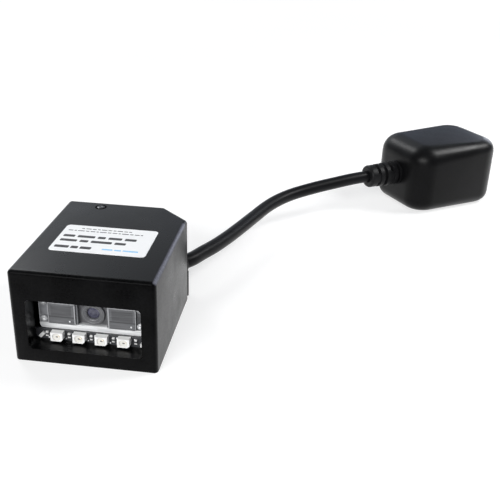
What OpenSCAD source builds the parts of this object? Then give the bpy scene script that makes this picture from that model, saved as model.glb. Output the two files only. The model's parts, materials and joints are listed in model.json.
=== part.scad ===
// Fixed barcode reader with a captive cable and a connector block.
// Millimetres. The front window faces -Y, the underside is at z = 0, and x = 0 is the middle.

/* [Housing] */
// Width of the housing
body_w = 42.5; // [41:0.5:54]
// Depth of the housing, front to back
body_d = 52.5; // [52:0.5:64]
// Height of the housing
body_h = 29.5; // [27:0.5:36]
// Thickness of the side, rear and top walls
wall = 2; // [1.8:0.1:2.4]
// Thickness of the front wall
front_wall = 2.5; // [2:0.1:3]
// Radius of the top edges
top_r = 1.3; // [0.6:0.1:1.6]
// Radius of the bottom edges
bottom_r = 0.4; // [0.4:0.1:1]
// Radius of the upright edges
corner_r = 1.3; // [1:0.1:3]
// Length of the cut-off corner along the rear wall
cut_x = 9.5; // [9.5:0.5:14]
// Length of the cut-off corner along the side wall
cut_y = 9; // [9:0.5:13]

/* [Window] */
// Width of the window opening
window_w = 33.5; // [33:0.5:36]
// Height of the window opening
window_h = 16; // [15:0.2:17]
// Height of the opening's lower edge above the underside
window_z = 4.5; // [4:0.1:5.5]
// Corner radius of the opening
window_r = 1.2; // [0.6:0.1:2]
// Depth of the glossy tunnel behind the front wall
shroud_t = 3.8; // [2.2:0.1:4.4]

/* [Lamps] */
// Distance between two lamps
led_pitch = 6.7; // [5:0.1:8]
// Width of a lamp
led_w = 3.7; // [3:0.1:4.2]
// Height of a lamp
led_h = 2.8; // [2.6:0.1:3.4]
// Depth of a lamp
led_t = 1.9; // [1.4:0.1:2.4]
// Diameter of a lamp's bowl
led_bowl_d = 2.5; // [1.8:0.1:2.5]

/* [Optics] */
// Height of the camera's axis
axis_z = 12.6; // [12.2:0.1:13.6]
// Width of the clear lens plate
plate_w = 32.4; // [31.6:0.2:33]
// Width of a lens pad
pad_w = 8.3; // [7:0.1:8.6]
// Height of a lens pad
pad_h = 7.2; // [6:0.1:7.6]
// Distance of a lens pad's middle from the camera's axis
pad_x = 9.1; // [8.8:0.1:9.2]
// Diameter of the camera's tube
barrel_d = 7.1; // [6:0.1:7.4]
// Diameter of the camera's front glass
glass_d = 3.8; // [3:0.1:4.4]
// Depth of the carrier behind the lens plate
frame_t = 8; // [7.6:0.1:9]

/* [Base] */
// Thickness of the base plate
base_t = 2; // [1.6:0.1:2.2]
// Distance between the two mounting holes
mount_pitch = 21; // [18:0.5:22]
// Bore of a mounting hole, the core of an M3 thread
mount_d = 2.5; // [2.4:0.1:3.4]
// Distance of the roof screw from the middle, to the left
screw_x = 9; // [6:0.5:11]
// Distance of the roof screw from the rear face
screw_in = 4.2; // [4.2:0.1:5.2]
// Height of the decoding board above the base plate
standoff_h = 4.5; // [4.2:0.1:5.5]

/* [Cable] */
// Outer diameter of the cable
cable_d = 5; // [4:0.1:5.2]
// Height of the cable where it leaves the housing
cable_z = 10.7; // [10.4:0.1:12]
// Diameter of the rubber bush round the cable
grommet_d = 8; // [7:0.1:8.4]

/* [Connector block] */
// Length of the block, away from the cable
block_l = 44.5; // [30:0.5:50]
// Width of the block
block_w = 34; // [27:0.5:36]
// Height of the block
block_h = 29; // [26:0.5:32]
// Upright edge radius at the cable's end
block_r = 9.3; // [7:0.1:11]
// Upright edge radius at the socket's end
block_far_r = 9.2; // [3:0.1:9.2]
// Top edge radius at the cable's end
block_top_r = 7.8; // [4:0.1:8.8]
// Top edge radius at the socket's end
block_far_top_r = 5.2; // [2:0.1:7]
// Turn of the block seen from above
block_yaw = 33; // [20:0.5:50]
// Length of the ribbed strain relief
relief_l = 15; // [14:0.5:26]
// Largest diameter of the strain relief
relief_d = 10.4; // [9.4:0.1:12]
// Width of the socket in the block's end
socket_w = 12; // [11.8:0.1:12.4]
// Height of the socket in the block's end
socket_h = 7.2; // [6.8:0.1:7.6]

/* [Hidden] */

$fn = 48;

// Clearance between two seated pieces, each side
fit = 0.15;
// Closer clearance of turned pieces and pins
slip = 0.05;
// Overrun of a cut past the face that it opens
over = 1;
// Overlap of two shapes that are one piece
merge = 0.3;

// Facets of the rounded bodies
hull_fn = 32;
arc_steps = 7;

// Housing
front_y = -body_d / 2;
rear_y = body_d / 2;
ceiling_z = body_h - wall;
cavity_x = body_w / 2 - wall;
ledge_w = 0.7;
rebate = wall - ledge_w;
cut_len = sqrt(cut_x * cut_x + cut_y * cut_y);
cut_nx = cut_y / cut_len;
cut_ny = cut_x / cut_len;
cut_turn = atan2(cut_ny, cut_nx) - 90;
boss_d = 4.4;
boss_x = cavity_x - boss_d / 2 + merge;
boss_in = 24;
boss_top = 12;

// Screws: an M2 with a flat head, and a small pan-head screw
screw_d = 2;
screw_core = 1.6;
screw_head_d = 3.8;
screw_head_h = 1;
screw_seat_h = 0.2;
screw_len = 7;
cross_w = 0.5;
cross_l = 2.2;
cross_t = 0.7;
pan_d = 3.4;
pan_h = 1.2;
pan_len = 4;
pan_core = 1.5;
pan_shank = 1.6;
post_d = 4.2;

// Label
label_w = 29.2;
label_d = 18.2;
label_t = 0.12;
label_r = 1.3;
label_x = -0.1;
label_in = 14.4;

// Tunnel and lamp board
shroud_step = 0.3;
board_t = 1;
board_d = front_wall + shroud_t;
board_side = 1.5;
board_w = 2 * (cavity_x - board_side);
board_drop = 1.9;
board_rise = 2.9;
led_count = 4;
led_lift = 0.25;
led_z = window_z + led_lift + led_h / 2;
led_d = board_d - led_t;
led_bowl_t = 1;
led_fill_t = 0.7;
led_nick = 0.7;
contact_w = 1.4;
contact_t = 0.2;
contact_h = 1.1;
chip_w = 0.8;
chip_h = 1.6;
chip_t = 0.5;
chip_lift = 1.4;

// Lens plate, camera and carrier
plate_gap = 1.6;
plate_t = 1.4;
plate_d = board_d + plate_gap;
plate_z = window_z + 2.3;
plate_h = 11.4;
plate_r = 1.4;
pad_raise = 0.6;
pad_r = 0.6;
pad_z = axis_z;
pupil_w = 8.8;
pupil_h = 8;
pupil_drop = 3.7;
frame_d = plate_d + plate_t;
frame_w = 31;
frame_z = 4;
frame_h = 17.4;
peg_d = 1.4;
peg_head_d = 2.1;
peg_head_t = 0.5;
peg_x = 14.55;
peg_low = 2.2;
peg_high = 3.4;
lug_x = 14;
lug_w = 2.6;
lug_h = 2.2;
barrel_proud = 0.8;
barrel_lip = 1.15;
barrel_hood = 0.5;
barrel_stop = 0.55;
barrel_l = 6;
barrel_front = frame_d - barrel_proud;
glass_t = 1.6;
glass_bulge = 0.5;
sensor_w = 6.5;
sensor_t = 1.1;
sensor_room = 0.8;
trough_wall = 0.5;
trough_steps = 3;
trough_step_t = 1.7;
trough_step_h = 0.9;
engine_d = frame_d + frame_t;
engine_w = 30;
engine_h = 16.4;
engine_led_w = 2.6;
engine_led_t = 0.9;
engine_screw_x = 13;
engine_screw_z = 18.8;

// Base plate
pedestal_w = 22;
pedestal_in = 1;
pedestal_l = 6;
mount_boss_d = 6;
mount_boss_h = 3.4;
mount_back = 6;
mount_in = body_d / 2 + mount_back;
tongue_w = 9;
tongue_t = 2.2;
tongue_drop = 1.5;
tongue_r = 0.6;

// Decoding board, its stand-offs and what stands on it
socket_strip_w = 12;
socket_strip_t = 1.4;
socket_strip_h = 4;
socket_strip_z = 11;
strip_l = 4;
strip_t = 2;
strip_gap = 3;
strip_in = engine_d + board_t + socket_strip_t + strip_gap;
decode_gap = 0.5;
decode_rear = 7.5;
decode_side = 5;
decode_rim = 2;
chip_gap = 1;
buzzer_side = 6;
buzzer_rear = 11.5;
decode_z = base_t + standoff_h;
decode_top = decode_z + board_t;
decode_in = engine_d + board_t + socket_strip_t + decode_gap;
decode_l = body_d - decode_in - decode_rear;
decode_w = 2 * (cavity_x - decode_side);
standoff_d = 4;
standoff_side = 7;
standoff_rim = 2.5;
standoff_back = 12.5;
standoff_x = cavity_x - standoff_side;
standoff_in = decode_in + standoff_rim;
standoff_rear = body_d - standoff_back;
cpu_w = 6.4;
cpu_t = 1.4;
cpu_x = 0.8;
cpu_in = strip_in + strip_l + chip_gap + cpu_w / 2;
mem_w = 7;
mem_l = 4.5;
mem_t = 1.1;
mem_x = -decode_w / 2 + mem_w / 2 + decode_rim;
mem_in = strip_in + strip_l + chip_gap + mem_l / 2;
buzzer_d = 7.5;
buzzer_t = 4.5;
buzzer_hole = 1.6;
buzzer_x = -standoff_x + buzzer_side;
buzzer_in = body_d - buzzer_rear;
ribbon_w = 10;
ribbon_t = 0.3;
ribbon_bend = 1.2;
header_l = 3;
header_w = 7;
header_h = 4;
header_shift = -1.5;
plug_l = 3.5;
plug_w = 6;
plug_h = 3;

// Cable: the straight stretch through the bush, then the points of its route, then the block
grommet_flange_d = 10.4;
grommet_flange_t = 1.2;
grommet_lip = 0.6;
slot_w = grommet_d + 2 * slip;
cable_bore = cable_d + 6 * slip;
cable_in = 5;
cable_out = 6;
cable_sides = 12;
route = [
  [23.5, 31.6, 10.7],
  [27, 38.2, 10.7],
  [30.5, 46.4, 10.7],
  [34, 55.6, 10.8],
  [38, 66.5, 11],
  [42, 76.2, 11.5],
  [46.5, 83.8, 12],
  [51.5, 89.5, 12.5],
  [57, 94.1, 13],
  [62.5, 98.1, 13.5],
  [68, 101.9, 13.9],
  [73.5, 105.6, 14.3],
  [78, 108.6, 14.5],
  [82, 111.2, 14.5]
];
route_end = route[len(route) - 1];
block_ux = cos(block_yaw);
block_uy = sin(block_yaw);
block_x = route_end[0] + relief_l * block_ux;
block_y = route_end[1] + relief_l * block_uy;
block_axis = route_end[2];
block_foot_r = 5;
spigot_d = 8;
spigot_l = 5;
cable_seat = 3;
rib_gap = 1.4;
rib_core = 7.2;
rib_count = 3;
rib_web_w = 4;
rib_web_set = 0.3;
tip_l = 3.2;
tip_d = 9.6;
tip_r = 1;
foot_l = 1.9;
jack_l = 16;
jack_w = 15;
jack_h = 13;
jack_axis = block_h / 2;
socket_l = 12.5;
latch_w = 6.2;
latch_h = 2.2;
key_w = 3.2;
key_h = 1;
pin_count = 8;
pin_pitch = 1.02;
pin_d = 0.45;
pin_l = 8;
pin_root = 1;
pin_dip = 1.7;
pin_set = 0.4;

wire_count = 4;
wire_d = 0.9;
wire_pitch = 1.3;
wire_pack = 1.05;
wire_sides = 8;
wire_l = 3;

// Outline of the housing, set in by i at the sides and by f at the front
function outline(i, f) = [
  [-body_w / 2 + i, front_y + f],
  [body_w / 2 - i, front_y + f],
  [body_w / 2 - i, rear_y - cut_y - i * (1 - cut_nx) / cut_ny],
  [body_w / 2 - cut_x - i * (1 - cut_ny) / cut_nx, rear_y - i],
  [-body_w / 2 + i, rear_y - i]
];

// Half section of a rounded upright edge: r across, rt at the top, rb at the bottom, neither above r
function post_profile(r, rt, rb, h) =
  let (t = min(rt, r), b = min(rb, r))
  concat(
    [[0, 0]],
    [for (k = [0 : arc_steps]) let (a = 90 * k / arc_steps) [r - b + b * sin(a), b - b * cos(a)]],
    [for (k = [0 : arc_steps]) let (a = 90 * k / arc_steps) [r - t + t * cos(a), h - t + t * sin(a)]],
    [[0, h]]
  );

// Point on the cable's axis at the cut-off corner, out from its face
function cut_point(out) = [
  body_w / 2 - cut_x / 2 + out * cut_nx,
  rear_y - cut_y / 2 + out * cut_ny,
  cable_z
];

function unit(v) = v / norm(v);

// Direction of a path at point k
function heading(p, k) = unit(p[min(k + 1, len(p) - 1)] - p[max(k - 1, 0)]);

// Ring of points round the path at point k
function ring(p, k, r, n) =
  let (t = heading(p, k), s = unit(cross(t, [0, 0, 1])), u = cross(s, t))
  [for (j = [0 : n - 1]) let (a = 360 * j / n) p[k] + r * cos(a) * s + r * sin(a) * u];

// Round tube along a path
module tube(p, d, n) {
  points = [for (k = [0 : len(p) - 1]) each ring(p, k, d / 2, n)];
  sides = [
    for (k = [0 : len(p) - 2])
    for (j = [0 : n - 1])
    let (a = k * n + j, b = k * n + (j + 1) % n)
    each [[a, b, b + n], [a, b + n, a + n]]
  ];
  last = (len(p) - 1) * n;
  start = [[for (j = [0 : n - 1]) n - 1 - j]];
  end = [[for (j = [0 : n - 1]) last + j]];
  polyhedron(points, concat(sides, start, end), convexity = 6);
}

// Flat shape in x and z, as a slab from depth d behind the front face
module facing(d, t) {
  translate([0, front_y + d + t, 0])
  rotate([90, 0, 0])
  linear_extrude(t)
  children();
}

// Turned shape on an axis that runs back from depth d
module turned(x, z, d) {
  translate([x, front_y + d, z])
  rotate([-90, 0, 0])
  children();
}

// Shape placed at the cut-off corner with its +Y outward
module at_cut(z) {
  translate([body_w / 2 - cut_x / 2, rear_y - cut_y / 2, z])
  rotate([0, 0, cut_turn])
  children();
}

// Shape placed on the block with its +X away from the cable
module at_block(z) {
  translate([block_x, block_y, z])
  rotate([0, 0, block_yaw])
  children();
}

// Rectangle with round corners about the middle
module round_rect(w, h, r) {
  square([w - 2 * r, h], center = true);
  square([w, h - 2 * r], center = true);
  for (sx = [-1, 1])
  for (sy = [-1, 1])
  translate([sx * (w / 2 - r), sy * (h / 2 - r)])
  circle(r);
}

// Box on the middle of its lower face
module block(w, l, h) {
  translate([-w / 2, -l / 2, 0])
  cube([w, l, h]);
}

// Flat-head screw, head downward at z = 0
module flat_screw() {
  difference() {
    rotate_extrude()
    polygon([
      [0, 0],
      [screw_head_d / 2, 0],
      [screw_head_d / 2, screw_seat_h],
      [screw_core / 2, screw_seat_h + screw_head_h],
      [screw_core / 2, screw_len],
      [0, screw_len]
    ]);
    for (turn = [45, 135])
    rotate([0, 0, turn])
    translate([-cross_l / 2, -cross_w / 2, -over])
    cube([cross_l, cross_w, cross_t + over]);
  }
}

// Room for a flat-head screw, head downward at z = 0
module flat_screw_room(deep) {
  rotate_extrude()
  polygon([
    [0, -over],
    [screw_head_d / 2 + slip, -over],
    [screw_head_d / 2 + slip, screw_seat_h],
    [screw_d / 2, screw_seat_h + screw_head_h],
    [screw_d / 2, deep],
    [0, deep]
  ]);
}

// Pan-head screw, head upward, its seat at z = 0
module pan_screw() {
  difference() {
    cylinder(h = pan_h, d = pan_d);
    for (turn = [0, 90])
    rotate([0, 0, turn])
    translate([-cross_l / 2, -cross_w / 2, pan_h - cross_t])
    cube([cross_l, cross_w, cross_t + over]);
  }
  translate([0, 0, -pan_len])
  cylinder(h = pan_len + merge, d = pan_core);
}

// The three places where the decoding board is screwed down
module board_spots() {
  for (sx = [-1, 1])
  translate([sx * standoff_x, front_y + standoff_in, 0])
  children();
  translate([-standoff_x, front_y + standoff_rear, 0])
  children();
}

module body_shape() {
  hull()
  for (p = outline(corner_r, corner_r))
  translate(p)
  rotate_extrude($fn = hull_fn)
  polygon(post_profile(corner_r, top_r, bottom_r, body_h));
}

module window_shape(grow) {
  translate([0, window_z + window_h / 2])
  round_rect(window_w + 2 * grow, window_h + 2 * grow, window_r + grow);
}

module housing() {
  color("#191a1c")
  difference() {
    union() {
      difference() {
        body_shape();
        translate([0, 0, base_t])
        linear_extrude(ceiling_z - base_t)
        polygon(outline(wall, front_wall));
      }
      for (sx = [-1, 1])
      translate([sx * boss_x, front_y + boss_in, base_t])
      cylinder(h = boss_top - base_t, d = boss_d);
    }
    translate([0, 0, -over])
    linear_extrude(base_t + over)
    polygon(outline(rebate, rebate));
    facing(-over, front_wall + 2 * over)
    window_shape(0);
    translate([-screw_x, rear_y - screw_in, body_h])
    rotate([180, 0, 0])
    flat_screw_room(wall + over);
    for (sx = [-1, 1])
    translate([sx * boss_x, front_y + boss_in, base_t - over])
    cylinder(h = screw_len + over, d = screw_core + 2 * slip);
    at_cut(cable_z)
    rotate([90, 0, 0])
    cylinder(h = 4 * wall, d = slot_w, center = true);
    at_cut(-over)
    block(slot_w, 4 * wall, cable_z + over);
  }
}

module tongue() {
  web_w = slot_w - 2 * fit;
  difference() {
    union() {
      at_cut(0)
      translate([0, -(wall - merge) / 2, 0])
      block(web_w, wall + merge, cable_z - tongue_drop);
      at_cut(0)
      linear_extrude(cable_z - tongue_drop)
      translate([0, tongue_t / 2])
      union() {
        translate([-tongue_w / 2, -tongue_t / 2])
        square([tongue_w, tongue_t - tongue_r]);
        translate([0, (tongue_t - tongue_r) / 2])
        square([tongue_w - 2 * tongue_r, tongue_r], center = true);
        for (sx = [-1, 1])
        translate([sx * (tongue_w / 2 - tongue_r), tongue_t / 2 - tongue_r])
        circle(tongue_r);
      }
    }
    at_cut(cable_z)
    rotate([90, 0, 0])
    cylinder(h = 6 * wall, d = slot_w, center = true);
  }
}

module base_plate() {
  color("#202124")
  difference() {
    union() {
      linear_extrude(base_t)
      polygon(outline(rebate + fit, rebate + fit));
      tongue();
      translate([-screw_x, rear_y - screw_in, 0])
      cylinder(h = ceiling_z, d = post_d);
      board_spots()
      cylinder(h = decode_z, d = standoff_d);
      for (sx = [-1, 1])
      translate([sx * mount_pitch / 2, front_y + mount_in, 0])
      cylinder(h = base_t + mount_boss_h, d = mount_boss_d);
      translate([0, front_y + frame_d + pedestal_in + pedestal_l / 2, 0])
      block(pedestal_w, pedestal_l, frame_z);
    }
    translate([-screw_x, rear_y - screw_in, body_h - screw_len])
    cylinder(h = screw_len, d = screw_core + 2 * slip);
    board_spots()
    translate([0, 0, decode_z - pan_len])
    cylinder(h = pan_len + over, d = pan_shank);
    for (sx = [-1, 1])
    translate([sx * mount_pitch / 2, front_y + mount_in, -over])
    cylinder(h = base_t + mount_boss_h + 2 * over, d = mount_d);
    for (sx = [-1, 1])
    translate([sx * boss_x, front_y + boss_in, 0])
    flat_screw_room(base_t + over);
  }
}

module cover_screw() {
  color("#3a3a3c")
  translate([-screw_x, rear_y - screw_in, body_h])
  rotate([180, 0, 0])
  flat_screw();
}

module base_screws() {
  color("#3a3a3c")
  for (sx = [-1, 1])
  translate([sx * boss_x, front_y + boss_in, 0])
  flat_screw();
}

module top_label() {
  color("#e9eaea")
  translate([label_x, front_y + label_in + label_d / 2, body_h])
  linear_extrude(label_t)
  round_rect(label_w, label_d, label_r);
}

module optics_shroud() {
  shroud_w = 2 * (cavity_x - fit);
  color("#0e0f10")
  facing(front_wall, shroud_t)
  difference() {
    translate([-shroud_w / 2, base_t])
    square([shroud_w, ceiling_z - fit - base_t]);
    window_shape(shroud_step);
  }
}

module pads(grow) {
  for (sx = [-1, 1])
  translate([sx * pad_x, pad_z])
  round_rect(pad_w + 2 * grow, pad_h + 2 * grow, pad_r);
}

module peg_spots() {
  for (sx = [-1, 1])
  for (z = [pad_z - peg_low, pad_z + peg_high])
  translate([sx * peg_x, z])
  children();
}

module lens_plate() {
  color("#c9ccd0")
  union() {
    facing(plate_d, plate_t)
    difference() {
      translate([0, plate_z + plate_h / 2])
      round_rect(plate_w, plate_h, plate_r);
      translate([-pupil_w / 2, axis_z - pupil_drop])
      square([pupil_w, pupil_h]);
      peg_spots()
      circle(d = peg_d + 2 * slip);
    }
    facing(plate_d - pad_raise, pad_raise + merge)
    pads(0);
  }
}

module engine_frame() {
  color("#2a2b2e")
  difference() {
    union() {
      translate([0, front_y + frame_d + frame_t / 2, frame_z])
      block(frame_w, frame_t, frame_h);
      facing(plate_d, plate_t + merge)
      peg_spots()
      circle(d = peg_d);
      facing(plate_d - peg_head_t, peg_head_t)
      peg_spots()
      circle(d = peg_head_d);
      for (sx = [-1, 1])
      facing(board_d + board_t, frame_d - board_d - board_t + merge)
      translate([sx * lug_x - lug_w / 2, frame_z])
      square([lug_w, lug_h]);
    }
    turned(0, axis_z, frame_d - over)
    cylinder(h = frame_t + 2 * over, d = barrel_d + 2 * slip);
    facing(engine_d - sensor_t - sensor_room, sensor_t + sensor_room + over)
    translate([0, axis_z])
    square(sensor_w + 2 * sensor_room, center = true);
    facing(frame_d - over, frame_t + 2 * over)
    pads(trough_wall + slip);
    for (sx = [-1, 1])
    turned(sx * engine_screw_x, engine_screw_z, engine_d - pan_len)
    cylinder(h = pan_len + over, d = pan_shank);
  }
}

module reflectors() {
  color("#8f9296")
  difference() {
    facing(frame_d, frame_t - engine_led_t)
    pads(trough_wall);
    for (k = [0 : trough_steps - 1])
    facing(frame_d - over, over + (k + 1) * trough_step_t)
    for (sx = [-1, 1])
    translate([sx * pad_x, pad_z])
    square([pad_w, pad_h - 2 * k * trough_step_h], center = true);
    for (sx = [-1, 1])
    facing(frame_d, frame_t)
    translate([sx * pad_x, pad_z])
    square(engine_led_w, center = true);
  }
}

module camera_barrel() {
  r = barrel_d / 2;
  color("#3c3d40")
  turned(0, axis_z, barrel_front)
  difference() {
    cylinder(h = barrel_l, r = r);
    translate([0, 0, -slip])
    cylinder(h = barrel_hood + slip, r1 = r - barrel_lip, r2 = glass_d / 2);
    translate([0, 0, barrel_hood - slip])
    cylinder(h = glass_t + slip, d = glass_d);
    cylinder(h = barrel_l + over, d = glass_d - 2 * barrel_stop);
  }
}

module camera_lens() {
  bulge_r = (glass_d * glass_d / 4 + glass_bulge * glass_bulge) / (2 * glass_bulge);
  color("#4a4f78")
  turned(0, axis_z, barrel_front + barrel_hood)
  intersection() {
    cylinder(h = glass_t, d = glass_d - 2 * slip);
    translate([0, 0, bulge_r])
    sphere(bulge_r);
  }
}

module engine_board() {
  color("#1d3b2a")
  difference() {
    facing(engine_d, board_t)
    translate([-engine_w / 2, frame_z + merge])
    square([engine_w, engine_h]);
    for (sx = [-1, 1])
    turned(sx * engine_screw_x, engine_screw_z, engine_d - over)
    cylinder(h = board_t + 2 * over, d = pan_shank);
  }
}

module image_sensor() {
  color("#26282b")
  facing(engine_d - sensor_t, sensor_t)
  translate([0, axis_z])
  square(sensor_w, center = true);
}

module engine_leds() {
  color("#f2f2ee")
  for (sx = [-1, 1])
  facing(engine_d - engine_led_t, engine_led_t)
  translate([sx * pad_x, pad_z])
  square(engine_led_w - 2 * fit, center = true);
}

module engine_screws() {
  color("#8d9095")
  for (sx = [-1, 1])
  turned(sx * engine_screw_x, engine_screw_z, engine_d + board_t)
  pan_screw();
}

module led_board() {
  color("#15171a")
  facing(board_d, board_t)
  translate([-board_w / 2, window_z - board_drop])
  square([board_w, board_drop + board_rise]);
}

function led_x(k) = (k - (led_count + 1) / 2) * led_pitch;

// Lamp number k: a white package with a bowl and one cut corner
module lamp(k) {
  color("#f4f5f3")
  difference() {
    facing(led_d, led_t)
    translate([led_x(k), led_z])
    polygon([
      [-led_w / 2, -led_h / 2],
      [led_w / 2 - led_nick, -led_h / 2],
      [led_w / 2, -led_h / 2 + led_nick],
      [led_w / 2, led_h / 2],
      [-led_w / 2, led_h / 2]
    ]);
    turned(led_x(k), led_z, led_d - over)
    cylinder(h = led_bowl_t + over, d = led_bowl_d);
  }
}

module led_1() {
  lamp(1);
}

module led_2() {
  lamp(2);
}

module led_3() {
  lamp(3);
}

module led_4() {
  lamp(4);
}

module led_fills() {
  color("#e8e4c8")
  for (k = [1 : led_count])
  turned(led_x(k), led_z, led_d + led_bowl_t - led_fill_t)
  cylinder(h = led_fill_t, d = led_bowl_d - 2 * slip);
}

module led_contacts() {
  color("#c6c8cb")
  for (k = [1 : led_count])
  for (sx = [-1, 1])
  facing(board_d - contact_h, contact_h)
  translate([led_x(k) + sx * (led_w + contact_t) / 2, led_z])
  square([contact_t, contact_w], center = true);
}

module led_resistors() {
  color("#d9d9d4")
  for (k = [0 : led_count])
  facing(board_d - chip_t, chip_t)
  translate([led_x(k + 1 / 2), led_z - led_h / 2 + chip_lift])
  square([chip_w, chip_h], center = true);
}

module decode_board() {
  color("#1d3b2a")
  difference() {
    translate([0, front_y + decode_in + decode_l / 2, decode_z])
    block(decode_w, decode_l, board_t);
    board_spots()
    translate([0, 0, decode_z - over])
    cylinder(h = board_t + 2 * over, d = pan_shank);
  }
}

module processor() {
  color("#26282b")
  translate([cpu_x, front_y + cpu_in, decode_top])
  block(cpu_w, cpu_w, cpu_t);
}

module memory() {
  color("#26282b")
  translate([mem_x, front_y + mem_in, decode_top])
  block(mem_w, mem_l, mem_t);
}

module buzzer() {
  color("#1b1b1d")
  translate([buzzer_x, front_y + buzzer_in, decode_top])
  difference() {
    cylinder(h = buzzer_t, d = buzzer_d);
    translate([0, 0, buzzer_t / 2])
    cylinder(h = buzzer_t, d = buzzer_hole);
  }
}

module ribbon_connectors() {
  color("#d8d3c4")
  union() {
    facing(engine_d + board_t, socket_strip_t)
    translate([-socket_strip_w / 2, socket_strip_z])
    square([socket_strip_w, socket_strip_h]);
    translate([0, front_y + strip_in + strip_l / 2, decode_top])
    block(socket_strip_w, strip_l, strip_t);
  }
}

module ribbon() {
  // The strip hangs from one connector and turns into the other one
  hang_d = engine_d + board_t + socket_strip_t / 2;
  lie_z = decode_top + strip_t / 2;
  bend_z = lie_z + ribbon_bend;
  color("#c58a3c")
  translate([-ribbon_w / 2, 0, 0])
  rotate([90, 0, 90])
  linear_extrude(ribbon_w)
  union() {
    translate([front_y + hang_d - ribbon_t / 2, bend_z])
    square([ribbon_t, socket_strip_z - bend_z]);
    translate([front_y + hang_d + ribbon_bend, lie_z - ribbon_t / 2])
    square([strip_in - hang_d - ribbon_bend, ribbon_t]);
    translate([front_y + hang_d + ribbon_bend, bend_z])
    difference() {
      circle(ribbon_bend + ribbon_t / 2);
      circle(ribbon_bend - ribbon_t / 2);
      translate([0, -2 * ribbon_bend])
      square(4 * ribbon_bend);
      translate([-2 * ribbon_bend, 0])
      square(4 * ribbon_bend);
    }
  }
}

module cable_header() {
  color("#e6e2d4")
  at_cut(decode_top)
  translate([header_shift, -cable_in - wire_l - plug_l - header_l / 2, 0])
  block(header_w, header_l, header_h);
}

module cable_plug() {
  color("#e6e2d4")
  at_cut(decode_top + (header_h - plug_h) / 2)
  translate([header_shift, -cable_in - wire_l - plug_l / 2, 0])
  block(plug_w, plug_l, plug_h);
}

module board_screws() {
  color("#8d9095")
  board_spots()
  translate([0, 0, decode_top])
  pan_screw();
}

module cable_wires() {
  fall = decode_top + header_h / 2 - cable_z;
  at_cut(cable_z)
  for (k = [0 : wire_count - 1]) {
    row = k - (wire_count - 1) / 2;
    start = [row * wire_pack, -cable_in, 0];
    end = [header_shift + row * wire_pitch, -cable_in - wire_l, fall];
    color(["#a33", "#eee", "#3a6", "#235"][k])
    tube([start, start - [0, wire_d / 2, 0], end + [0, wire_d / 2, 0], end], wire_d, wire_sides);
  }
}

module cable_grommet() {
  color("#141416")
  at_cut(cable_z)
  rotate([-90, 0, 0])
  difference() {
    union() {
      translate([0, 0, -wall - grommet_flange_t])
      cylinder(h = grommet_flange_t, d = grommet_flange_d);
      translate([0, 0, -wall - merge])
      cylinder(h = wall + merge + tongue_t, d = grommet_d);
      translate([0, 0, tongue_t - merge])
      cylinder(h = grommet_lip + merge, d1 = grommet_d, d2 = grommet_d - 2 * grommet_lip);
    }
    cylinder(h = 8 * wall, d = cable_bore, center = true);
  }
}

module cable() {
  seat = [
    block_x + cable_seat * block_ux,
    block_y + cable_seat * block_uy,
    block_axis
  ];
  color("#232427")
  tube(concat([cut_point(-cable_in), cut_point(0), cut_point(cable_out)], route, [seat]),
    cable_d, cable_sides);
}

// Boot of rings, with two webs across each gap, in turn at the sides and above and below
module strain_relief() {
  ribs_l = relief_l - tip_l - foot_l;
  pitch = ribs_l / rib_count;
  taper = (relief_d - tip_d) / rib_count;
  color("#1c1d1f")
  at_block(block_axis)
  rotate([0, 90, 0])
  difference() {
    union() {
      translate([0, 0, -relief_l])
      rotate_extrude()
      union() {
        square([tip_d / 2 - tip_r, tip_l]);
        translate([0, tip_r])
        square([tip_d / 2, tip_l - tip_r]);
        translate([tip_d / 2 - tip_r, tip_r])
        circle(tip_r);
      }
      for (k = [0 : rib_count - 1])
      translate([0, 0, -relief_l + tip_l + rib_gap + k * pitch])
      cylinder(h = pitch - rib_gap, d = tip_d + (k + 1) * taper);
      for (k = [0 : rib_count])
      translate([0, 0, -relief_l + tip_l + k * pitch - merge])
      rotate([0, 0, 90 * (k % 2)])
      intersection() {
        cylinder(h = rib_gap + 2 * merge, d = tip_d + k * taper - 2 * rib_web_set);
        block(rib_web_w, 2 * relief_d, rib_gap + 2 * merge);
      }
      translate([0, 0, -relief_l + tip_l - merge])
      cylinder(h = relief_l - tip_l + merge, d = rib_core);
      translate([0, 0, -foot_l + rib_gap])
      cylinder(h = foot_l - rib_gap, d = relief_d);
      cylinder(h = spigot_l, d = spigot_d);
    }
    translate([0, 0, -relief_l - over])
    cylinder(h = relief_l + cable_seat + over, d = cable_bore);
  }
}

module block_shape() {
  hull() {
    for (sy = [-1, 1])
    translate([block_r, sy * (block_w / 2 - block_r), 0])
    rotate_extrude($fn = hull_fn)
    polygon(post_profile(block_r, block_top_r, block_foot_r, block_h));
    for (sy = [-1, 1])
    translate([block_l - block_far_r, sy * (block_w / 2 - block_far_r), 0])
    rotate_extrude($fn = hull_fn)
    polygon(post_profile(block_far_r, block_far_top_r, block_foot_r, block_h));
  }
}

module connector_housing() {
  color("#1d1e20")
  at_block(0)
  difference() {
    block_shape();
    translate([block_l - jack_l, -jack_w / 2 - fit, jack_axis - jack_h / 2 - fit])
    cube([jack_l + over, jack_w + 2 * fit, jack_h + 2 * fit]);
    translate([-over, 0, block_axis])
    rotate([0, 90, 0])
    cylinder(h = spigot_l + over, d = spigot_d + 2 * slip);
  }
}

module jack_insert() {
  room_z = jack_axis - socket_h / 2;
  color("#101113")
  at_block(0)
  difference() {
    translate([block_l - jack_l, -jack_w / 2, jack_axis - jack_h / 2])
    cube([jack_l, jack_w, jack_h]);
    translate([block_l - socket_l, -socket_w / 2, room_z])
    cube([socket_l + over, socket_w, socket_h]);
    translate([block_l - socket_l, -latch_w / 2, room_z - latch_h])
    cube([socket_l + over, latch_w, socket_h]);
    translate([block_l - socket_l, -key_w / 2, room_z - latch_h - key_h + merge])
    cube([socket_l + over, key_w, socket_h]);
  }
}

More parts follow.
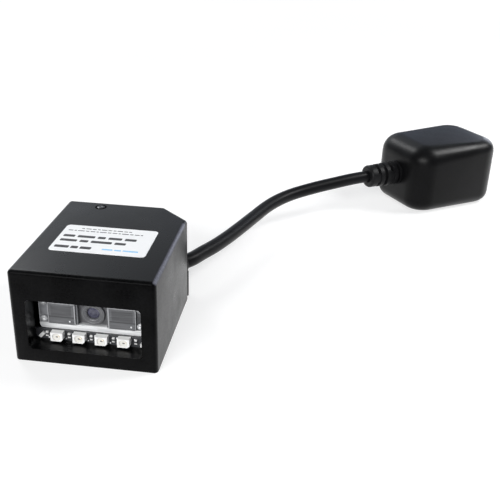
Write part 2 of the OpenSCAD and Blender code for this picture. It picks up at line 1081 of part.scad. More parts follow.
module jack_contacts() {
  color("#c9a24a")
  at_block(jack_axis + socket_h / 2 - pin_set)
  for (k = [0 : pin_count - 1])
  translate([block_l - socket_l, (k - (pin_count - 1) / 2) * pin_pitch, 0])
  rotate([90, 0, 0])
  linear_extrude(pin_d, center = true)
  polygon([
    [0, -pin_d / 2],
    [pin_root, -pin_d / 2],
    [pin_root + pin_l, -pin_d / 2 - pin_dip],
    [pin_root + pin_l, pin_d / 2 - pin_dip],
    [pin_root, pin_d / 2],
    [0, pin_d / 2]
  ]);
}

housing();
base_plate();
cover_screw();
base_screws();
top_label();
optics_shroud();
lens_plate();
engine_frame();
reflectors();
camera_barrel();
camera_lens();
engine_board();
image_sensor();
engine_leds();
engine_screws();
led_board();
led_1();
led_2();
led_3();
led_4();
led_fills();
led_contacts();
led_resistors();
decode_board();
processor();
memory();
buzzer();
ribbon_connectors();
ribbon();
cable_header();
board_screws();
cable_grommet();
cable_plug();
cable_wires();
cable();
strain_relief();
connector_housing();
jack_insert();
jack_contacts();
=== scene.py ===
import json
import math

import bmesh
import bpy
from mathutils import Matrix, Vector


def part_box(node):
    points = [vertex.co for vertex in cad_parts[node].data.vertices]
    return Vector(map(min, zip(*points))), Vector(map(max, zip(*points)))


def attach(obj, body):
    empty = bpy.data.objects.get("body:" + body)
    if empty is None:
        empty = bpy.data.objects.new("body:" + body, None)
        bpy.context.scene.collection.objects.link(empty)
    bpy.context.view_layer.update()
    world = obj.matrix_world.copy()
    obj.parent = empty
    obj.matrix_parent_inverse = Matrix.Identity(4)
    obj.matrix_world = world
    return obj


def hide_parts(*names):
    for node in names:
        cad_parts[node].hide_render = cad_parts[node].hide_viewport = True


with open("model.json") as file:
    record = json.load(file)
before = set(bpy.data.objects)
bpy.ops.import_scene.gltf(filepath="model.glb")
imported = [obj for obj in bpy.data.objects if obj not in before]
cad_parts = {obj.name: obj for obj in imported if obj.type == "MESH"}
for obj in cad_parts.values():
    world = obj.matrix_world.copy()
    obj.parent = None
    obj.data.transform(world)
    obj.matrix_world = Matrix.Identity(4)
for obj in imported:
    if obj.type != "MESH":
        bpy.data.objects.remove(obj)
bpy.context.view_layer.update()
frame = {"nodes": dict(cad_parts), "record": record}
nodes = frame["nodes"]
scene = bpy.context.scene
MM = 0.001
MM_PER_M = 1000.0


# Sizes from the frame, in millimetres

def mm_box(node):
    """The two corners of a node's box."""
    low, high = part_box(node)
    return low / MM, high / MM


lamp_names = [f"led_{k}" for k in range(1, 5)]
lamp_boxes = [mm_box(name) for name in lamp_names]
lamp_pitch = lamp_boxes[1][0].x - lamp_boxes[0][0].x
shell_low, shell_high = mm_box("housing")
plate_low, plate_high = mm_box("lens_plate")
trough_low, trough_high = mm_box("reflectors")
tube_low, tube_high = mm_box("camera_barrel")
roof_screw_low, roof_screw_high = mm_box("cover_screw")
resistors_low, resistors_high = mm_box("led_resistors")
label_top_z = mm_box("top_label")[1].z
board_y = mm_box("led_board")[0].y
fill_y = mm_box("led_fills")[0].y
front_y = shell_low.y
roof_z = shell_high.z
axis_z = (tube_low.z + tube_high.z) / 2

# Sizes of the solids that their boxes don't give

window_w = 33.5
window_low_z = 4.5
window_high_z = 20.5
front_wall = 2.5

pad_w = 8.3
pad_raise = 0.6
trough_wall = 0.5
pad_out = trough_high.x - trough_wall
pad_in = pad_out - pad_w
pad_low_z = trough_low.z + trough_wall
pad_high_z = trough_high.z - trough_wall
pad_front = plate_low.y
plate_face = pad_front + pad_raise

pupil_half_w = 4.4
pupil_drop = 3.7
pupil_low_z = axis_z - pupil_drop

peg_x = 14.55
peg_drop = 2.2
peg_lift = 3.4
peg_set_back = 0.1
peg_low_z = axis_z - peg_drop
peg_high_z = axis_z + peg_lift
peg_front = pad_front + peg_set_back

TO_FRONT = (0, -1, 0)
TO_REAR = (0, 1, 0)
UPWARD = (0, 0, 1)


# Shader helpers

def new_mat(name):
    mat = bpy.data.materials.new(name)
    mat.use_nodes = True
    tree = mat.node_tree
    return mat, tree, tree.nodes["Principled BSDF"]


def feed(tree, value, socket):
    """Links a socket, or sets a number or a colour."""
    if isinstance(value, bpy.types.NodeSocket):
        tree.links.new(value, socket)
    elif isinstance(value, (int, float)):
        socket.default_value = value
    else:
        socket.default_value = (*value, 1.0)


def coords(tree):
    """Coordinates on the object, from one node in each tree."""
    found = tree.nodes.get("place")
    if found is None:
        found = tree.nodes.new("ShaderNodeTexCoord")
        found.name = "place"
    return found.outputs["Object"]


def noise(tree, grain, detail=2.0, stretch=None):
    """Noise with grains of that size in millimetres."""
    node = tree.nodes.new("ShaderNodeTexNoise")
    node.inputs["Scale"].default_value = MM_PER_M / grain
    node.inputs["Detail"].default_value = detail
    source = coords(tree)
    if stretch:
        mapping = tree.nodes.new("ShaderNodeMapping")
        mapping.inputs["Scale"].default_value = stretch
        tree.links.new(source, mapping.inputs["Vector"])
        source = mapping.outputs["Vector"]
    tree.links.new(source, node.inputs["Vector"])
    return node.outputs["Fac"]


def ranged(tree, value, low, high, start=0.35, end=0.65):
    """Maps start to end onto low to high, and stays within them. Most noise lies between 0.35 and 0.65."""
    node = tree.nodes.new("ShaderNodeMapRange")
    node.inputs["From Min"].default_value = start
    node.inputs["From Max"].default_value = end
    node.inputs["To Min"].default_value = low
    node.inputs["To Max"].default_value = high
    tree.links.new(value, node.inputs["Value"])
    return node.outputs["Result"]


def blend(tree, factor, a, b):
    """Colour a where the factor is 0 and b where it is 1."""
    node = tree.nodes.new("ShaderNodeMix")
    node.data_type = "RGBA"
    feed(tree, factor, node.inputs[0])
    feed(tree, a, node.inputs[6])
    feed(tree, b, node.inputs[7])
    return node.outputs[2]


def tones(tree, value, dark, light):
    """A noise value as a tone from dark to light."""
    return blend(tree, ranged(tree, value, 0.0, 1.0), dark, light)


def level(tree, factor, a, b):
    """Number a where the factor is 0 and b where it is 1."""
    node = tree.nodes.new("ShaderNodeMix")
    node.data_type = "FLOAT"
    feed(tree, factor, node.inputs[0])
    feed(tree, a, node.inputs[2])
    feed(tree, b, node.inputs[3])
    return node.outputs[0]


def calc(tree, operation, a, b=0.0):
    """Result of one step of arithmetic."""
    node = tree.nodes.new("ShaderNodeMath")
    node.operation = operation
    feed(tree, a, node.inputs[0])
    feed(tree, b, node.inputs[1])
    return node.outputs[0]


def axes(tree):
    """x, y and z on the object, in millimetres."""
    node = tree.nodes.new("ShaderNodeSeparateXYZ")
    tree.links.new(coords(tree), node.inputs[0])
    return [calc(tree, "MULTIPLY", socket, MM_PER_M) for socket in node.outputs]


def between(tree, value, low, high, soft=0.05):
    """1 where the value is between low and high, 0 elsewhere."""
    rise = ranged(tree, value, 0.0, 1.0, low - soft, low + soft)
    fall = ranged(tree, value, 1.0, 0.0, high - soft, high + soft)
    return calc(tree, "MULTIPLY", rise, fall)


def in_box(tree, low, high, soft=0.05):
    """1 inside a box between two corners in millimetres, 0 elsewhere."""
    inside = 1.0
    for value, start, end in zip(axes(tree), low, high):
        inside = calc(tree, "MULTIPLY", inside, between(tree, value, start, end, soft))
    return inside


def bump(tree, shader, heights):
    """Stacks bumps on a shader: each is a height socket, a strength and a depth in millimetres."""
    last = None
    for height, strength, depth in heights:
        node = tree.nodes.new("ShaderNodeBump")
        node.inputs["Strength"].default_value = strength
        node.inputs["Distance"].default_value = depth * MM
        tree.links.new(height, node.inputs["Height"])
        if last:
            tree.links.new(last, node.inputs["Normal"])
        last = node.outputs["Normal"]
    tree.links.new(last, shader.inputs["Normal"])


# Camera, fitted to the photograph

turn = math.radians(6.958)
lift = math.radians(24.575)
roll = math.radians(1.648)
camera_place = Vector((64.814, -198.765, 126.886))
back = Vector((math.sin(turn) * math.cos(lift), -math.cos(turn) * math.cos(lift), math.sin(lift)))
level_right = Vector((math.cos(turn), math.sin(turn), 0.0))
level_up = back.cross(level_right)
right = math.cos(roll) * level_right + math.sin(roll) * level_up
up = math.cos(roll) * level_up - math.sin(roll) * level_right
camera_turn = Matrix((right, up, back)).transposed().to_4x4()
camera = bpy.data.objects.new("camera", bpy.data.cameras.new("camera"))
scene.collection.objects.link(camera)
camera.matrix_world = Matrix.Translation(camera_place * MM) @ camera_turn
camera.data.sensor_width = 36.0
camera.data.lens = 53.606
camera.data.shift_x = 0.02
camera.data.shift_y = -0.04
camera.data.clip_start = 0.01
scene.camera = camera


# Stage, in metres: a white floor that keeps the shadow, white surroundings and soft lamps

def mirrored_rays(tree, rays):
    """1 for a ray that a glossy or a clear surface sends on."""
    return calc(tree, "MAXIMUM", rays.outputs["Is Glossy Ray"], rays.outputs["Is Transmission Ray"])


def floor_material():
    """Matt grey as a surface, with a glow for the camera and for mirrored rays that is white far out."""
    tone = (0.46, 0.46, 0.46, 1.0)
    near_glow = 0.6
    far_glow = 1.0
    near = 0.4
    far = 1.6
    mat = bpy.data.materials.new("floor_white")
    mat.use_nodes = True
    tree = mat.node_tree
    tree.nodes.clear()
    rays = tree.nodes.new("ShaderNodeLightPath")
    seen = calc(tree, "MAXIMUM", rays.outputs["Is Camera Ray"], mirrored_rays(tree, rays))
    matt = tree.nodes.new("ShaderNodeBsdfDiffuse")
    matt.inputs["Color"].default_value = tone
    away = tree.nodes.new("ShaderNodeVectorMath")
    away.operation = "LENGTH"
    tree.links.new(coords(tree), away.inputs[0])
    strength = ranged(tree, away.outputs["Value"], near_glow, far_glow, near, far)
    glow = tree.nodes.new("ShaderNodeEmission")
    tree.links.new(calc(tree, "MULTIPLY", seen, strength), glow.inputs["Strength"])
    both = tree.nodes.new("ShaderNodeAddShader")
    tree.links.new(matt.outputs[0], both.inputs[0])
    tree.links.new(glow.outputs[0], both.inputs[1])
    out = tree.nodes.new("ShaderNodeOutputMaterial")
    tree.links.new(both.outputs[0], out.inputs["Surface"])
    return mat


def white_floor():
    half = 12.0
    drop = -1e-5
    corners = [(-half, -half, drop), (half, -half, drop), (half, half, drop), (-half, half, drop)]
    mesh = bpy.data.meshes.new("floor")
    mesh.from_pydata(corners, [], [(0, 1, 2, 3)])
    floor = bpy.data.objects.new("floor", mesh)
    scene.collection.objects.link(floor)
    mesh.materials.append(floor_material())


def studio_world():
    """White to the camera; mirrored, a soft light at the rear left; bluish and dim as a light."""
    glow_from = Vector((-0.55, 0.65, 0.52)).normalized()
    glow_low = 0.26
    glow_high = 1.0
    glow_start = 0.8
    glow_end = 0.98
    ambient = 0.16
    ambient_tone = (0.88, 0.93, 1.0)
    white = (1.0, 1.0, 1.0)
    world = bpy.data.worlds.new("studio")
    scene.world = world
    world.use_nodes = True
    tree = world.node_tree
    sky = tree.nodes["Background"]
    rays = tree.nodes.new("ShaderNodeLightPath")
    seen = rays.outputs["Is Camera Ray"]
    place = tree.nodes.new("ShaderNodeTexCoord")
    toward = tree.nodes.new("ShaderNodeVectorMath")
    toward.operation = "DOT_PRODUCT"
    tree.links.new(place.outputs["Generated"], toward.inputs[0])
    toward.inputs[1].default_value = glow_from
    glow = ranged(tree, toward.outputs["Value"], glow_low, glow_high, glow_start, glow_end)
    strength = level(tree, mirrored_rays(tree, rays), ambient, glow)
    tree.links.new(calc(tree, "MAXIMUM", strength, seen), sky.inputs["Strength"])
    tree.links.new(blend(tree, seen, ambient_tone, white), sky.inputs["Color"])


def soft_lamp(name, place, aim, size, power, colour=(1.0, 1.0, 1.0)):
    """A rectangular lamp that the camera doesn't see, with its power in watts."""
    data = bpy.data.lights.new(name, "AREA")
    data.shape = "RECTANGLE"
    data.size, data.size_y = size
    data.energy = power
    data.color = colour
    obj = bpy.data.objects.new(name, data)
    scene.collection.objects.link(obj)
    obj.visible_camera = False
    obj.location = place
    obj.rotation_euler = (Vector(aim) - Vector(place)).to_track_quat("-Z", "Y").to_euler()


white_floor()
studio_world()
at_block = (0.1, 0.12, 0.03)
soft_lamp("key_right", place=(0.43, 0.17, 0.36), aim=(0.1, 0.1, 0.03), size=(0.16, 0.16), power=1.65)
soft_lamp("fill_front", place=(-0.25, -1.02, 0.56), aim=(0.0, 0.0, 0.012), size=(0.8, 0.3), power=15.5)
soft_lamp("sheen_block", place=(-0.55, 0.58, 0.66), aim=at_block, size=(0.3, 0.3), power=2.6)
soft_lamp("rear_blue", place=(0.3, 1.3, 0.36), aim=at_block, size=(1.0, 0.4), power=0.25,
          colour=(0.45, 0.6, 1.0))
soft_lamp("edge_rear", place=(0.62, 1.05, 0.27), aim=(0.02, 0.0, 0.03), size=(0.5, 0.3), power=1.6,
          colour=(0.86, 0.9, 1.0))
scene.view_settings.view_transform = "Standard"


# Materials, with lengths in millimetres

def moulded(name, dark, light, rough, spec=0.5, grain=0.2, depth=0.01, strength=0.2, patch=9.0, metal=0.0,
            tint=1.0, gloss_box=None, highlight_box=None):
    """Moulded or machined surface: patches of two close colours, uneven gloss and a fine grain.
    tint dims the reflection seen straight on. Inside gloss_box, a pair of corners, the surface is evenly
    glossy and has no grain. The last argument is a colour and the two corners of the box where an edge is
    painted pale as a highlight."""
    broad_share = 0.6
    highlight_soft = 0.25
    highlight_least = 0.6
    even_rough = 0.28
    no_grain = 0.5
    mat, tree, shader = new_mat(name)
    broad = noise(tree, patch, detail=4.0)
    fine = noise(tree, grain, detail=3.0)
    mixed = calc(tree, "ADD", calc(tree, "MULTIPLY", broad, broad_share),
                 calc(tree, "MULTIPLY", fine, 1.0 - broad_share))
    tone = tones(tree, mixed, dark, light)
    # Paints a highlight: inside the box the colour goes pale, more where the grain is high.
    if highlight_box:
        pale, low, high = highlight_box
        share = ranged(tree, fine, highlight_least, 1.0)
        highlighted = calc(tree, "MULTIPLY", in_box(tree, low, high, highlight_soft), share)
        tone = blend(tree, highlighted, tone, pale)
    tree.links.new(tone, shader.inputs["Base Color"])
    gloss = ranged(tree, mixed, *rough)
    height = fine
    if gloss_box:
        inside = in_box(tree, *gloss_box)
        gloss = level(tree, inside, gloss, even_rough)
        height = level(tree, inside, fine, no_grain)
    tree.links.new(gloss, shader.inputs["Roughness"])
    shader.inputs["Specular IOR Level"].default_value = spec
    shader.inputs["Specular Tint"].default_value = (tint, tint, tint, 1.0)
    shader.inputs["Metallic"].default_value = metal
    bump(tree, shader, [(height, strength, depth)])
    return mat


def clear_moulding():
    """Clear plastic: the pads show a darker field above, a dark line and a lighter strip below it.
    The margin beside them has painted light and shade, paler at the left than at the right, and the ledge
    below is painted near white as a highlight."""
    pad_soft = 0.08
    field_low = pad_low_z + 2.7
    field_high = pad_high_z - 1.0
    field_in = pad_in + 1.1
    field_out = pad_out - 0.9
    line_low = pad_low_z + 2.2
    line_high = pad_low_z + 2.6
    line_tone = (0.06, 0.062, 0.066)
    ledge_low = plate_low.z - 1.0
    ledge_high = pad_low_z - 0.1
    margin_clear = 0.25
    pad_clear = 0.3
    ledge_clear = 0.1
    mat, tree, shader = new_mat("clear_moulding")
    x, _, z = axes(tree)
    off_axis = calc(tree, "ABSOLUTE", x)
    pad = calc(tree, "MULTIPLY", between(tree, off_axis, pad_in, pad_out, pad_soft),
               between(tree, z, pad_low_z, pad_high_z, pad_soft))
    field = calc(tree, "MULTIPLY", between(tree, off_axis, field_in, field_out, soft=0.15),
                 between(tree, z, field_low, field_high, soft=0.12))
    line = between(tree, z, line_low, line_high, soft=0.1)
    ledge = between(tree, z, ledge_low, ledge_high, soft=0.15)
    haze = noise(tree, grain=1.6, detail=3.0)
    streaks = noise(tree, grain=0.45, stretch=(0.07, 1.0, 1.0))
    # Painted light and shade: the margin of one clear plastic is paler at the left than at the right.
    lit_margin = tones(tree, haze, (0.24, 0.245, 0.26), (0.32, 0.327, 0.345))
    shaded_margin = tones(tree, haze, (0.06, 0.062, 0.067), (0.09, 0.092, 0.099))
    margin_tone = blend(tree, ranged(tree, x, 0.0, 1.0, -pad_out, pad_out), lit_margin, shaded_margin)
    strip_tone = tones(tree, streaks, (0.125, 0.128, 0.136), (0.175, 0.178, 0.188))
    field_tone = tones(tree, streaks, (0.075, 0.077, 0.083), (0.12, 0.122, 0.13))
    pad_tone = blend(tree, line, blend(tree, field, strip_tone, field_tone), line_tone)
    # Painted highlight: the clear ledge is coloured near white.
    ledge_highlight_tone = tones(tree, streaks, (0.7, 0.71, 0.72), (0.95, 0.955, 0.96))
    tone = blend(tree, ledge, blend(tree, pad, margin_tone, pad_tone), ledge_highlight_tone)
    clear = level(tree, ledge, level(tree, pad, margin_clear, pad_clear), ledge_clear)
    tree.links.new(tone, shader.inputs["Base Color"])
    tree.links.new(clear, shader.inputs["Transmission Weight"])
    tree.links.new(ranged(tree, haze, 0.1, 0.2), shader.inputs["Roughness"])
    shader.inputs["IOR"].default_value = 1.49
    bump(tree, shader, [(streaks, 0.3, 0.04), (haze, 0.15, 0.02)])
    return mat


def coated_glass():
    """Dark lens with a violet coating."""
    mat, tree, shader = new_mat("coated_glass")
    haze = noise(tree, grain=1.4)
    tree.links.new(tones(tree, haze, (0.05, 0.05, 0.072), (0.1, 0.1, 0.135)), shader.inputs["Base Color"])
    tree.links.new(ranged(tree, haze, 0.03, 0.07), shader.inputs["Roughness"])
    shader.inputs["Coat Weight"].default_value = 0.3
    shader.inputs["Coat Tint"].default_value = (0.8, 0.79, 1.0, 1.0)
    bump(tree, shader, [(haze, 0.05, 0.01)])
    return mat


def resistor_ends():
    """Small chips with a dark middle and bright ends above and below."""
    body_low = resistors_low.z + 0.45
    body_high = resistors_high.z - 0.5
    body_tone = (0.07, 0.07, 0.075)
    mat, tree, shader = new_mat("resistors")
    z = axes(tree)[2]
    grain = noise(tree, grain=0.3, detail=3.0)
    body = between(tree, z, body_low, body_high, soft=0.06)
    ends = tones(tree, grain, (0.62, 0.62, 0.61), (0.8, 0.8, 0.79))
    tree.links.new(blend(tree, body, ends, body_tone), shader.inputs["Base Color"])
    tree.links.new(ranged(tree, grain, 0.3, 0.45), shader.inputs["Roughness"])
    bump(tree, shader, [(grain, 0.3, 0.02)])
    return mat


def wire_skins():
    """Four coloured wires side by side, told apart by where they lie across the cut-off corner."""
    across_x = 0.726
    across_y = 0.688
    first_gap = -4.4
    gap_w = 0.1
    wire_pitch = 1.15
    red = ((0.4, 0.03, 0.03), (0.5, 0.05, 0.05))
    white = ((0.7, 0.7, 0.68), (0.8, 0.8, 0.78))
    green = ((0.03, 0.25, 0.08), (0.05, 0.32, 0.1))
    blue = ((0.02, 0.05, 0.2), (0.03, 0.08, 0.28))
    mat, tree, shader = new_mat("wire_skins")
    x, y, _ = axes(tree)
    across = calc(tree, "SUBTRACT", calc(tree, "MULTIPLY", x, across_x), calc(tree, "MULTIPLY", y, across_y))
    grain = noise(tree, grain=0.3)
    skin = tones(tree, grain, *red)
    for k, colours in enumerate((white, green, blue)):
        gap = first_gap + wire_pitch * k
        past = ranged(tree, across, 0.0, 1.0, gap, gap + gap_w)
        skin = blend(tree, past, skin, tones(tree, grain, *colours))
    tree.links.new(skin, shader.inputs["Base Color"])
    tree.links.new(ranged(tree, grain, 0.3, 0.42), shader.inputs["Roughness"])
    bump(tree, shader, [(grain, 0.2, 0.01)])
    return mat


# The reveal of the window, which is glossier, and the shell's top right edge, where a highlight is painted
# pale

reveal_side = 0.3
reveal_end = 0.2
reveal_start = 0.12
reveal_past = 0.1
reveal = ((-window_w / 2 - reveal_side, front_y + reveal_start, window_low_z - reveal_end),
          (window_w / 2 + reveal_side, front_y + front_wall + reveal_past, window_high_z + reveal_end))
# A painted highlight: the pale strip along the top right edge of the shell stands for the reflection in its
# rounded edge.
edge_highlight_tone = (0.15, 0.153, 0.188)
edge_highlight_w = 0.95
edge_highlight_start = 0.6
edge_highlight_end_y = 14.5
edge_highlight_past = 1.0
painted_edge_highlight = (edge_highlight_tone,
             (shell_high.x - edge_highlight_w, front_y + edge_highlight_start, roof_z - edge_highlight_w),
             (shell_high.x + edge_highlight_past, edge_highlight_end_y, roof_z + edge_highlight_past))
surfaces = {
    "shell": dict(dark=(0.0008, 0.0008, 0.0009), light=(0.0045, 0.0045, 0.0048), rough=(0.26, 0.38),
                  grain=0.6, depth=0.04, strength=0.4, tint=0.03, gloss_box=reveal, highlight_box=painted_edge_highlight),
    "base": dict(dark=(0.003, 0.003, 0.0033), light=(0.005, 0.005, 0.0055), rough=(0.4, 0.52), grain=0.35,
                 depth=0.03, strength=0.5, tint=0.3),
    "gloss": dict(dark=(0.0015, 0.0015, 0.0016), light=(0.0025, 0.0025, 0.0027), rough=(0.26, 0.34),
                  spec=0.25, grain=2.0, depth=0.02, strength=0.1, tint=0.15),
    "black_screw": dict(dark=(0.03, 0.03, 0.032), light=(0.07, 0.07, 0.073), rough=(0.22, 0.36),
                        strength=0.3, metal=0.9),
    # Matt black ring that paints the shade in the countersink round the roof screw.
    "countersink_shade": dict(dark=(0.001, 0.001, 0.001), light=(0.003, 0.003, 0.003), rough=(0.8, 0.9),
                        spec=0.05, grain=0.3),
    # Paler metal for the crown of the roof screw, which paints the highlights on its head.
    "crown_glint_metal": dict(dark=(0.1, 0.1, 0.103), light=(0.22, 0.22, 0.225), rough=(0.25, 0.4), strength=0.3,
                       metal=0.9),
    "label": dict(dark=(0.84, 0.85, 0.86), light=(0.88, 0.885, 0.89), rough=(0.4, 0.5), spec=0.4,
                  depth=0.005),
    "ink_grey": dict(dark=(0.035, 0.035, 0.038), light=(0.07, 0.07, 0.074), rough=(0.5, 0.6), spec=0.3,
                     depth=0.004),
    "ink_blue": dict(dark=(0.2, 0.5, 0.8), light=(0.3, 0.58, 0.85), rough=(0.45, 0.55), spec=0.3,
                     depth=0.004),
    "carrier": dict(dark=(0.06, 0.06, 0.064), light=(0.088, 0.088, 0.094), rough=(0.35, 0.45), spec=0.4,
                    grain=0.3, depth=0.02, strength=0.3),
    "reflector": dict(dark=(0.3, 0.31, 0.33), light=(0.38, 0.39, 0.41), rough=(0.25, 0.35), grain=0.3),
    # Pale colour of the pad rims, a painted highlight on their edges.
    "rim": dict(dark=(0.3, 0.305, 0.32), light=(0.42, 0.425, 0.44), rough=(0.1, 0.2), grain=0.6),
    "stake": dict(dark=(0.24, 0.245, 0.255), light=(0.46, 0.465, 0.475), rough=(0.08, 0.16), spec=0.6,
                  grain=0.4, depth=0.05, strength=0.6, patch=0.9),
    # Pale colour for the painted glints on the stakes and pads, and for the painted highlight under the
    # camera opening.
    "glint_white": dict(dark=(0.7, 0.71, 0.72), light=(0.8, 0.81, 0.82), rough=(0.15, 0.25), grain=0.5),
    "tube": dict(dark=(0.082, 0.083, 0.09), light=(0.112, 0.114, 0.12), rough=(0.3, 0.4)),
    "tube_edge": dict(dark=(0.13, 0.132, 0.14), light=(0.19, 0.192, 0.2), rough=(0.3, 0.4), spec=0.4),
    "green": dict(dark=(0.008, 0.05, 0.022), light=(0.012, 0.075, 0.033), rough=(0.3, 0.4), grain=0.4),
    "dark_board": dict(dark=(0.02, 0.021, 0.024), light=(0.04, 0.041, 0.046), rough=(0.3, 0.4), grain=0.4),
    "chip": dict(dark=(0.014, 0.014, 0.015), light=(0.022, 0.022, 0.023), rough=(0.5, 0.6), spec=0.4,
                 grain=0.15, strength=0.3),
    "die": dict(dark=(0.1, 0.1, 0.105), light=(0.16, 0.16, 0.165), rough=(0.2, 0.3), grain=0.1,
                depth=0.004),
    "lamp_white": dict(dark=(0.9, 0.9, 0.89), light=(0.94, 0.94, 0.93), rough=(0.35, 0.45), grain=0.3,
                       depth=0.005),
    "fill": dict(dark=(0.74, 0.72, 0.66), light=(0.82, 0.81, 0.77), rough=(0.08, 0.15), grain=0.5),
    "tin": dict(dark=(0.66, 0.66, 0.67), light=(0.8, 0.8, 0.81), rough=(0.25, 0.35), grain=0.3, metal=0.45),
    "chip_white": dict(dark=(0.66, 0.66, 0.65), light=(0.78, 0.78, 0.77), rough=(0.4, 0.5)),
    "steel": dict(dark=(0.45, 0.45, 0.47), light=(0.58, 0.58, 0.6), rough=(0.25, 0.35), metal=1.0),
    "ivory": dict(dark=(0.62, 0.58, 0.48), light=(0.72, 0.68, 0.58), rough=(0.35, 0.45), grain=0.3),
    "amber": dict(dark=(0.4, 0.16, 0.03), light=(0.5, 0.22, 0.05), rough=(0.15, 0.25), grain=0.5),
    "rubber": dict(dark=(0.004, 0.004, 0.0045), light=(0.007, 0.007, 0.0077), rough=(0.4, 0.5), grain=0.25,
                   depth=0.02, strength=0.4, tint=0.25),
    "cable": dict(dark=(0.0035, 0.0035, 0.004), light=(0.006, 0.006, 0.0068), rough=(0.36, 0.46),
                  grain=0.25, depth=0.015, strength=0.3, tint=0.12),
    "block": dict(dark=(0.0008, 0.0008, 0.0009), light=(0.0035, 0.0035, 0.0039), rough=(0.32, 0.42),
                  grain=0.6, depth=0.03, strength=0.3, tint=0.19),
    "jack": dict(dark=(0.008, 0.008, 0.0085), light=(0.012, 0.012, 0.013), rough=(0.25, 0.35), grain=0.4),
    "gold": dict(dark=(0.7, 0.48, 0.18), light=(0.8, 0.57, 0.24), rough=(0.2, 0.3), metal=1.0),
}
kinds = {name: moulded(name, **look) for name, look in surfaces.items()}
kinds["clear"] = clear_moulding()
kinds["glass"] = coated_glass()
kinds["resistors"] = resistor_ends()
kinds["wires"] = wire_skins()
finish = {
    "housing": "shell", "base_plate": "base", "cover_screw": "black_screw", "base_screws": "black_screw",
    "top_label": "label", "optics_shroud": "gloss", "lens_plate": "clear", "engine_frame": "carrier",
    "reflectors": "reflector", "camera_barrel": "tube", "camera_lens": "glass", "engine_board": "green",
    "image_sensor": "chip", "engine_leds": "lamp_white", "engine_screws": "steel", "led_board": "dark_board",
    "led_fills": "fill", "led_contacts": "tin", "led_resistors": "resistors", "decode_board": "green",
    "processor": "chip", "memory": "chip", "buzzer": "chip", "ribbon_connectors": "ivory", "ribbon": "amber",
    "cable_header": "ivory", "board_screws": "steel", "cable_grommet": "rubber", "cable_plug": "ivory",
    "cable_wires": "wires", "cable": "cable", "strain_relief": "rubber", "connector_housing": "block",
    "jack_insert": "jack", "jack_contacts": "gold",
}
finish.update({name: "lamp_white" for name in lamp_names})


# Smooth shading and softened edges of the solids

def smooth_group(name, limit):
    """Joins split vertices and shades edges flatter than the limit, in degrees, as smooth."""
    weld_distance = 1e-6
    group = bpy.data.node_groups.new(name, "GeometryNodeTree")
    group.interface.new_socket("Geometry", in_out="INPUT", socket_type="NodeSocketGeometry")
    group.interface.new_socket("Geometry", in_out="OUTPUT", socket_type="NodeSocketGeometry")
    entry = group.nodes.new("NodeGroupInput")
    leave = group.nodes.new("NodeGroupOutput")
    weld = group.nodes.new("GeometryNodeMergeByDistance")
    weld.inputs["Distance"].default_value = weld_distance
    angle = group.nodes.new("GeometryNodeInputMeshEdgeAngle")
    sharp = group.nodes.new("FunctionNodeCompare")
    sharp.operation = "GREATER_THAN"
    sharp.inputs[1].default_value = math.radians(limit)
    shade = group.nodes.new("GeometryNodeSetMeshNormal")
    shade.mode = "SHARPNESS"
    shade.inputs["Remove Custom"].default_value = True
    group.links.new(entry.outputs[0], weld.inputs["Geometry"])
    group.links.new(weld.outputs[0], shade.inputs["Mesh"])
    group.links.new(angle.outputs["Unsigned Angle"], sharp.inputs[0])
    group.links.new(sharp.outputs[0], shade.inputs["Edge Sharpness"])
    group.links.new(shade.outputs[0], leave.inputs[0])
    return group


smoothing = smooth_group("smooth_by_angle", limit=32.0)
sharp_edge = math.radians(40.0)


def soften(obj, width=0.0):
    """Smooth shading, with a small round on sharp edges where a width is given, in millimetres."""
    smooth = obj.modifiers.new("smooth", "NODES")
    smooth.node_group = smoothing
    if width:
        edge = obj.modifiers.new("edge", "BEVEL")
        edge.width = width * MM
        edge.segments = 2
        edge.limit_method = "ANGLE"
        edge.angle_limit = sharp_edge
        edge.harden_normals = True


rounds = {
    "top_label": 0.03, "led_resistors": 0.08, "led_contacts": 0.04, "led_board": 0.06, "processor": 0.1,
    "memory": 0.1, "ribbon_connectors": 0.12, "cable_header": 0.12, "cable_plug": 0.12, "jack_contacts": 0.08,
    "strain_relief": 0.2, "cable_grommet": 0.15, "camera_barrel": 0.08, "lens_plate": 0.1, "jack_insert": 0.1,
}
rounds.update({name: 0.15 for name in lamp_names})
for name, obj in nodes.items():
    obj.data.materials.clear()
    obj.data.materials.append(kinds[finish[name]])
    soften(obj, rounds.get(name, 0.0))


# Pieces of the scene

